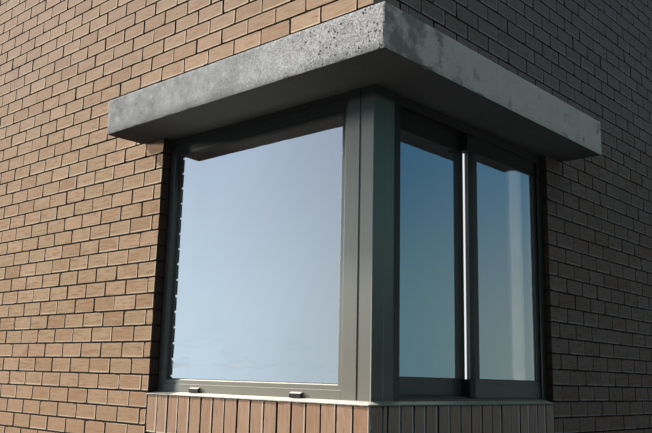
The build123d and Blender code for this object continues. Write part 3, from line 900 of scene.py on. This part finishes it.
def lay(blocks, side, start, end, low, high, first, pitch):
    """Lays bricks from start to end, with joints at the lattice of first and pitch."""
    half = blocks.settings.joint / 2
    edges = [start] + joints_in(first, pitch, start, end) + [end]
    draw = blocks.random.uniform
    for n in range(len(edges) - 1):
        left = edges[n] + (half * draw(0.40, 1.55) if n > 0 else 0.0)
        right = edges[n + 1] - (half * draw(0.40, 1.55) if n < len(edges) - 2 else 0.0)
        blocks.add(side, left, right, low, high)


def make_wall(settings, side, material):
    """The courses of one wall in three pieces: below the sill, beside and above."""
    joint, half = settings.joint, settings.joint / 2
    course = settings.height + joint
    pitch = settings.length + joint
    first = getattr(settings, f"first_joint_{side}")
    seed = settings.seed + WALL_SEED[side]
    parts = {part: Blocks(settings, seed + n) for n, part in enumerate(("base", "pier", "head"))}
    opening, hood_end, arm = OPENING[side], HOOD_END[side], ARM[side] - END_GAP
    sill, hood_top = SILL_LOW.z, HOOD_HIGH.z
    for number in range(round(WALL_TOP / course)):
        low = number * course + half
        high = low + settings.height
        odd = number % 2 == 1
        lattice = first + (pitch / 2 if odd else 0.0)
        if sill <= low and high <= hood_top + joint:
            start = hood_end + joint
            if high < SILL_HIGH.z + joint:
                start = opening + half
            elif high < HOOD_LOW.z + joint:
                start = opening
            lay(parts["pier"], side, start, arm, low, high, lattice, pitch)
            continue
        blocks = parts["base" if low < sill else "head"]
        at_sill = low < sill < high
        at_hood = low < hood_top < high
        corner_low = hood_top + joint if at_hood else low
        corner_high = sill - joint if at_sill else high
        corner_end = hood_end if at_hood else opening if at_sill else arm
        start = BRICK_DEPTH + joint
        if odd == (side == "left"):
            blocks.add(side, CORNER_GAP, settings.length, corner_low, corner_high)
            start = settings.length + joint
        lay(blocks, side, start, corner_end, corner_low, corner_high, lattice, pitch)
        if at_sill or at_hood:
            past = corner_end + (half if at_sill else joint)
            lay(blocks, side, past, arm, low, high, lattice, pitch)
    for part, blocks in parts.items():
        blocks.make(f"bricks_{part}_{side}", material, "brick", f"brick_{part}_{side}")


def make_mortar(name, side, alongs, depths, levels, material, inside, shape):
    """A block of mortar behind the bricks of one wall."""
    verts, faces = shell(alongs, depths, levels, inside, shape)
    if side == "left":
        faces = [face[::-1] for face in faces]
    add_piece(name, verts, faces, material)


def make_joints(settings, side, material):
    """The mortar behind the raked joints of one wall, in three pieces."""
    rake = settings.rake
    arm, opening, hood_end = ARM[side], OPENING[side], HOOD_END[side]
    near = rake if side == "left" else BRICK_DEPTH
    under_soldiers = SILL_LOW.z - settings.joint * 0.5
    regions = {
        "base": ([near, arm], [0.0, under_soldiers]),
        "pier": ([opening + rake, hood_end + rake, arm],
                 [under_soldiers, HOOD_LOW.z, HOOD_HIGH.z + rake]),
        "head": ([near, arm], [HOOD_HIGH.z + rake, WALL_TOP - 0.002]),
    }

    def rough(point, normal):
        wave = noise.noise(Vector((point.x * 31, point.z * 29, 3.0 + rake)))
        if normal.y < 0:
            point.y += 0.0011 * wave
        return to_world(side, *point)

    for part, (lengths, heights) in regions.items():
        def clear_of_hood(u, n, z):
            return part != "pier" or z < HOOD_LOW.z or u > hood_end + rake

        make_mortar(f"joints_{part}_{side}", side, steps(lengths, MORTAR_STEP),
                    [rake, BRICK_DEPTH], steps(heights, MORTAR_STEP), material,
                    clear_of_hood, rough)


def make_soldiers(settings, side, material, joint_material):
    """The upright bricks under one window, and the mortar behind them."""
    blocks = Blocks(settings, settings.seed + SOLDIER_SEED[side])
    draw = blocks.random.uniform
    half = settings.joint / 2
    opening = OPENING[side]
    if side == "left":
        pitch = opening / settings.soldiers_left
        start = CORNER_GAP
        places = [pitch * n for n in range(1, settings.soldiers_left)]
    else:
        pitch = (opening - settings.first_soldier_right) / settings.soldiers_right
        start = BRICK_DEPTH + settings.joint
        places = [settings.first_soldier_right + pitch * n
                  for n in range(settings.soldiers_right)]
    edges = [start] + [place + draw(-0.0025, 0.0025) for place in places] + [opening]
    for n in range(len(edges) - 1):
        left = edges[n] + (half * draw(0.4, 1.7) if n > 0 else 0.0)
        drop = draw(-0.0015, 0.0015)
        blocks.add(side, left, edges[n + 1] - half, SILL_LOW.z + drop, SILL_HIGH.z - 0.001)
    blocks.make(f"soldiers_{side}", material, "sill_brick", f"soldier_sill_{side}")
    near = settings.rake if side == "left" else BRICK_DEPTH
    make_mortar(f"joints_soldiers_{side}", side,
                steps([near, opening], SOLDIER_MORTAR_STEP), [settings.rake, BRICK_DEPTH],
                [SILL_LOW.z - half, SILL_HIGH.z - 0.002], joint_material,
                lambda u, n, z: True, lambda point, normal: to_world(side, *point))


def make_hood(settings, material):
    """The hood's casting, with hollows from its formwork and worn arrises."""
    cell, edge = settings.cell, 0.005
    fine_wave = 0.0006
    xs = steps([HOOD_LOW.x, -WALL_DEPTH, HOOD_HIGH.x], cell, edge)
    ys = steps([HOOD_LOW.y, WALL_DEPTH, HOOD_HIGH.y], cell, edge)
    zs = steps([HOOD_LOW.z, HOOD_HIGH.z], cell, edge)

    def weather(point, normal):
        hollow = settings.wave * (0.5 + 0.5 * noise.noise(point * 6.0))
        hollow += fine_wave * (0.5 + 0.5 * noise.noise(point * 31.0))
        at_arris = sum(1 for part in normal if abs(part) > 0.5) > 1
        if at_arris:
            ragged = 0.5 + 0.5 * noise.noise(point * 24.0)
            bite = max(0.0, noise.noise(point * 9.0) - 0.28) * 0.012
            hollow += settings.chip * 0.35 + settings.chip * 0.55 * ragged + bite
        outside = point.y < -0.01 or point.x > 0.01
        swell = settings.proud if outside else 0.0
        return point + normal * (swell - hollow)

    verts, faces = shell(xs, ys, zs, lambda x, y, z: y < WALL_DEPTH or x > -WALL_DEPTH,
                         weather)
    piece = add_piece("hood_casting", verts, faces, material)
    soften(piece.data, [True] * len(faces), sharp_angle=15)
    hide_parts("concrete_hood")


def make_bed(settings, material):
    """The mortar sill: trowelled by hand, hipped at the corner, ragged at its nose."""
    deep_left, deep_right = 0.060, 0.038
    nose = 0.002
    on_edge = 0.0005
    cell = 0.014
    xs = steps([-OPENING["left"], -BRICK_DEPTH], cell)
    xs += [-BRICK_DEPTH + 0.012 * n for n in range(1, 5)]
    xs += [-0.038, -0.03, -0.02, -0.01, -0.004, 0.0]
    ys = [0.0, 0.004, 0.01, 0.02, 0.03, 0.04, 0.05, 0.06, 0.075]
    ys += steps([BRICK_DEPTH, OPENING["right"]], cell)
    foot, top = POST_LOW.z, SILL_HIGH.z
    # The points of the underside are at the first level, those of the top at the second
    zs = [top - 0.001, foot]

    def trowelled(point, normal):
        x, y, z = point
        rise = min(1.0, y / deep_left, -x / deep_right)
        wave = noise.noise(Vector((x * 17, y * 17, 1.0)))
        fine = noise.noise(Vector((x * 70, y * 70, 5.0)))
        on_left_face, on_right_face = y < on_edge, x > -on_edge
        if point.z > top:
            z = top + nose + (foot - top - nose) * rise
            z += (1.0 - rise) * (0.0022 * wave + 0.001 * fine)
        if on_left_face or on_right_face:
            lip = 0.0015 + 0.0018 * max(0.0, wave) + 0.0008 * fine
            if point.z < foot - 0.001:
                z -= 0.0025 + 0.007 * max(0.0, wave + 0.45 * fine)
            y -= lip if on_left_face else 0.0
            x += lip if on_right_face else 0.0
        return (x, y, z)

    verts, faces = shell(xs, ys, zs, lambda x, y, z: y < BRICK_DEPTH or x > -BRICK_DEPTH,
                         trowelled)
    piece = add_piece("sill_bed", verts, faces, material)
    piece.data.polygons.foreach_set("use_smooth", [True] * len(faces))
    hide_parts("sill_mortar_left", "sill_mortar_right")


def make_gasket(name, node, side, rim, proud, settings, material):
    """A rounded rubber line round a pane, just in front of the glass."""
    low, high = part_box(node)
    if side == "left":
        start, end, face = -high.x, -low.x, low.y
    else:
        start, end, face = low.y, high.y, -high.x
    start, end = start + rim, end - rim
    bottom, top = low.z + rim, high.z - rim
    width = settings.gasket
    section = [(0.0, 0.0), (0.0, -proud * 0.7), (width * 0.35, -proud),
               (width * 0.8, -proud * 0.6), (width, 0.0)]
    verts, faces = [], []
    for inset, out in section:
        for u, z in ((start + inset, bottom + inset), (end - inset, bottom + inset),
                     (end - inset, top - inset), (start + inset, top - inset)):
            verts.append(to_world(side, u, face + out, z))
    count = len(section)
    for n in range(count):
        after = (n + 1) % count
        for c in range(4):
            d = (c + 1) % 4
            quad = [n * 4 + c, n * 4 + d, after * 4 + d, after * 4 + c]
            faces.append(quad if side == "left" else quad[::-1])
    add_piece(name, verts, faces, material)


def sun(name, direction, strength, colour, spread):
    """A distant lamp that shines along a direction."""
    lamp = bpy.data.lights.new(name, "SUN")
    lamp.energy = strength
    lamp.color = colour
    lamp.angle = math.radians(spread)
    turn = Vector(direction).to_track_quat("-Z", "Y").to_euler()
    add_object(name, lamp).rotation_euler = turn


def seen_rays(tree):
    """1 for rays that look at the background, straight or in metal and glass."""
    straight = tree.light_path("Is Camera Ray")
    in_gloss = tree.light_path("Is Glossy Ray")
    through = tree.light_path("Is Transmission Ray")
    return (straight + in_gloss + through).clamped()


def make_world(settings):
    """A plain even light, and a pale sky for what looks at it."""
    world = bpy.data.worlds.new("studio")
    bpy.context.scene.world = world
    tree = Tree(world)
    way = tree.node("ShaderNodeTexCoord", output="Generated")
    key = Vector(settings.key_direction)
    toward_key = Vector((-key.x, -key.y, 0.0)).normalized()
    side = tree.vector("DOT_PRODUCT", way, tuple(toward_key), "Value")
    up = tree.axis(way, "Z")
    bright = tree.mix((0.64, 0.79, 0.91), (0.47, 0.575, 0.76), up.smooth(0.05, 0.40))
    dusk = tree.mix((0.112, 0.245, 0.30), (0.028, 0.112, 0.210), up.smooth(0.06, 0.33))
    dawn = tree.mix((0.240, 0.315, 0.32), (0.072, 0.188, 0.31), up.smooth(0.02, 0.31))
    sky = tree.coats(
        dusk,
        (dawn, side.smooth(-0.86, -0.72)),
        (bright, side.smooth(-0.75, 0.85)),
    )
    even_light = (0.083, 0.100, 0.109)
    backdrop = (0.86, 0.88, 0.89)
    dark_room = (0.012, 0.014, 0.016)
    seen = tree.coats(
        sky,
        (backdrop, tree.light_path("Is Camera Ray")),
        (dark_room, tree.light_path("Transparent Depth").smooth(0.2, 0.8)),
    )
    colour = tree.mix(even_light, seen, seen_rays(tree))
    background = tree.node("ShaderNodeBackground", {}, {"Color": colour, "Strength": 1.0})
    tree.node("ShaderNodeOutputWorld", {}, {"Surface": background})


def make_floor(settings):
    """A plain pale floor that keeps the shadow of the wall."""
    half = settings.floor_half
    material, tree = new_finish("studio_floor")
    colour = tree.mix((0.04, 0.04, 0.04), (0.45, 0.46, 0.48), seen_rays(tree))
    tree.surface(Base_Color=colour, Roughness=0.9, Specular_IOR_Level=0.1)
    corners = [(-half, -half, 0), (half, -half, 0), (half, half, 0), (-half, half, 0)]
    floor = add_mesh("floor", corners, [(0, 1, 2, 3)], material)


class WINDOW_OT_stage(bpy.types.Operator):
    """Add the camera, the lamps, the floor and the background"""

    bl_idname = "corner_window.stage"
    bl_label = "Studio"

    def execute(self, context):
        settings = context.scene.window_studio
        camera = bpy.data.cameras.new("camera")
        camera.sensor_width = 36.0
        camera.lens = settings.lens
        camera.shift_x = settings.shift_x
        camera.shift_y = settings.shift_y
        camera.clip_end = 500.0
        eye = add_object("camera", camera)
        eye.location = settings.eye
        eye.rotation_euler = settings.tilt
        context.scene.camera = eye
        context.scene.view_settings.view_transform = "Standard"
        for name, (colour, spread) in LAMPS.items():
            direction = getattr(settings, f"{name}_direction")
            strength = getattr(settings, f"{name}_strength")
            sun(name, direction, strength, colour, spread)
        make_world(settings)
        make_floor(settings)
        return {"FINISHED"}


class WINDOW_OT_brickwork(bpy.types.Operator):
    """Lay the bricks of both walls and the mortar between them"""

    bl_idname = "corner_window.brickwork"
    bl_label = "Brickwork"

    def execute(self, context):
        settings = context.scene.window_bricks
        # The right tone is painted shade on what faces +X
        brick = brick_finish("facing_brick", tuple(settings.buff), streaks=(9.0, 9.0, 95.0),
                             painted_shade_tone=(0.38, 0.51, 0.71))
        joint = joint_finish(settings)
        for side in SIDES:
            make_wall(settings, side, brick)
            make_joints(settings, side, joint)
        return {"FINISHED"}


class WINDOW_OT_soldiers(bpy.types.Operator):
    """Stand the upright bricks under both windows"""

    bl_idname = "corner_window.soldiers"
    bl_label = "Soldier course"

    def execute(self, context):
        settings = context.scene.window_bricks
        warm_buff = tinted(settings.buff, 1.06, 1.08, 1.18)
        # The right tone is painted shade on what faces +X
        brick = brick_finish("soldier_brick", warm_buff, streaks=(95.0, 95.0, 9.0),
                             painted_shade_tone=(0.70, 0.95, 1.22))
        joint = joint_finish(settings)
        for side in SIDES:
            make_soldiers(settings, side, brick, joint)
        return {"FINISHED"}


class WINDOW_OT_hood(bpy.types.Operator):
    """Cast the concrete hood"""

    bl_idname = "corner_window.hood"
    bl_label = "Concrete hood"

    def execute(self, context):
        settings = context.scene.window_hood
        make_hood(settings, concrete_finish(settings))
        return {"FINISHED"}


class WINDOW_OT_sill(bpy.types.Operator):
    """Trowel the mortar sill"""

    bl_idname = "corner_window.sill"
    bl_label = "Mortar sill"

    def execute(self, context):
        settings = context.scene.window_hood
        make_bed(settings, bed_finish(settings))
        return {"FINISHED"}


class WINDOW_OT_inside(bpy.types.Operator):
    """Finish the inner leaf and the window boards"""

    bl_idname = "corner_window.inside"
    bl_label = "Inner wall"

    def execute(self, context):
        plaster, board = plaster_finish(), board_finish()
        for side in SIDES:
            dress(plaster, f"inner_base_{side}", f"inner_pier_{side}", f"inner_head_{side}")
            dress(board, f"window_board_{side}")
        return {"FINISHED"}


class WINDOW_OT_metalwork(bpy.types.Operator):
    """Finish the post, the frames and the sashes"""

    bl_idname = "corner_window.metalwork"
    bl_label = "Frames and sashes"

    def execute(self, context):
        settings = context.scene.window_metal
        upright = (120.0, 120.0, 2.0)
        level_left, level_right = (2.0, 120.0, 120.0), (120.0, 2.0, 120.0)
        # Each finish has its own painted shade on what faces +X and under the hood
        dress(anodised_finish("anodised_post", settings, upright,
                              right_low=0.45, right_high=0.0, hood_shade_depth=0.07),
              "corner_post", "post_cover_left", "post_cover_right")
        dress(anodised_finish("anodised_jambs", settings, upright,
                              right_low=0.30, right_high=0.30, hood_shade_depth=0.12),
              "fixed_frame_jambs")
        dress(anodised_finish("anodised_rails", settings, level_left,
                              right_low=0.75, right_high=0.75, hood_shade_depth=0.36),
              "fixed_frame_rails", "frame_head_closer", "fixed_glazing_bead",
              "fixed_glazing_stop")
        dress(anodised_finish("anodised_stiles", settings, upright,
                              right_low=0.90, right_high=0.88, hood_shade_depth=0.16, front=0.6),
              "slider_jambs", "outer_sash_stiles", "inner_sash_stiles")
        dress(anodised_finish("anodised_tracks", settings, level_right,
                              right_low=0.62, right_high=0.97, hood_shade_depth=0.30, front=0.6),
              "slider_sill_track", "slider_head_track", "outer_sash_rails",
              "inner_sash_rails")
        dress(mill_finish(), "sash_interlock")
        return {"FINISHED"}


class WINDOW_OT_fittings(bpy.types.Operator):
    """Finish the drain covers, the draught blocks and the sealant"""

    bl_idname = "corner_window.fittings"
    bl_label = "Fittings"

    def execute(self, context):
        # The drain covers' pale tops are dust and a painted highlight
        dress(plastic_finish("drain_cover", dark=(0.014, 0.014, 0.017),
                             dust_and_light_colour=(0.78, 0.77, 0.74)), "drain_covers")
        dress(plastic_finish("draught_block", dark=(0.012, 0.011, 0.011),
                             dust_and_light_colour=(0.04, 0.04, 0.04)), "draught_blocks")
        dress(rubber_finish("sealant", (0.03, 0.03, 0.03)), "perimeter_sealant")
        return {"FINISHED"}


class WINDOW_OT_glazing(bpy.types.Operator):
    """Finish the panes and add their gaskets"""

    bl_idname = "corner_window.glazing"
    bl_label = "Glazing"

    def execute(self, context):
        settings = context.scene.window_glass
        left_tint, right_tint = tuple(settings.left_tint), tuple(settings.right_tint)
        # The fixed pane's painted reflection is darker toward the corner post
        fixed = glass_finish("fixed_pane", left_tint, painted_reflection_tint=(0.72, 0.69, 0.67),
                             hides=settings.left_cover, smears=0.55, lean=0.02)
        sash = glass_finish("sash_pane", right_tint, painted_reflection_tint=right_tint,
                            hides=settings.right_cover, smears=0.15, lean=0.008)
        rubber = rubber_finish("gasket", (0.02, 0.02, 0.02))
        for pane, side, finish, rim, proud in (
            ("fixed", "left", fixed, 0.0208, 0.003),
            ("outer_sash", "right", sash, 0.0117, 0.002),
            ("inner_sash", "right", sash, 0.0117, 0.002),
        ):
            node = f"{pane}_glass"
            dress(finish, node)
            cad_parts[node].visible_shadow = False
            make_gasket(f"{pane}_gasket", node, side, rim, proud, settings, rubber)
        return {"FINISHED"}


class WINDOW_PT_panel(bpy.types.Panel):
    """Lists the pieces of the corner window"""

    bl_idname = "WINDOW_PT_panel"
    bl_label = "Corner Window"
    bl_space_type = "VIEW_3D"
    bl_region_type = "UI"
    bl_category = "Corner Window"

    def draw(self, context):
        for operator in OPERATORS:
            self.layout.operator(operator.bl_idname)


SETTINGS = {
    "window_bricks": BrickSettings,
    "window_hood": HoodSettings,
    "window_metal": MetalSettings,
    "window_glass": GlassSettings,
    "window_studio": StudioSettings,
}
OPERATORS = (
    WINDOW_OT_stage,
    WINDOW_OT_brickwork,
    WINDOW_OT_soldiers,
    WINDOW_OT_hood,
    WINDOW_OT_sill,
    WINDOW_OT_inside,
    WINDOW_OT_metalwork,
    WINDOW_OT_fittings,
    WINDOW_OT_glazing,
)


def register():
    for group in SETTINGS.values():
        bpy.utils.register_class(group)
    for name, group in SETTINGS.items():
        setattr(bpy.types.Scene, name, PointerProperty(type=group))
    for operator in OPERATORS:
        bpy.utils.register_class(operator)
    bpy.utils.register_class(WINDOW_PT_panel)


def unregister():
    bpy.utils.unregister_class(WINDOW_PT_panel)
    for operator in reversed(OPERATORS):
        bpy.utils.unregister_class(operator)
    for name, group in SETTINGS.items():
        delattr(bpy.types.Scene, name)
        bpy.utils.unregister_class(group)


def main():
    register()
    for name in ("stage", "brickwork", "soldiers", "hood", "sill", "inside", "metalwork",
                 "fittings", "glazing"):
        getattr(bpy.ops.corner_window, name)()


if __name__ == "__main__":
    main()
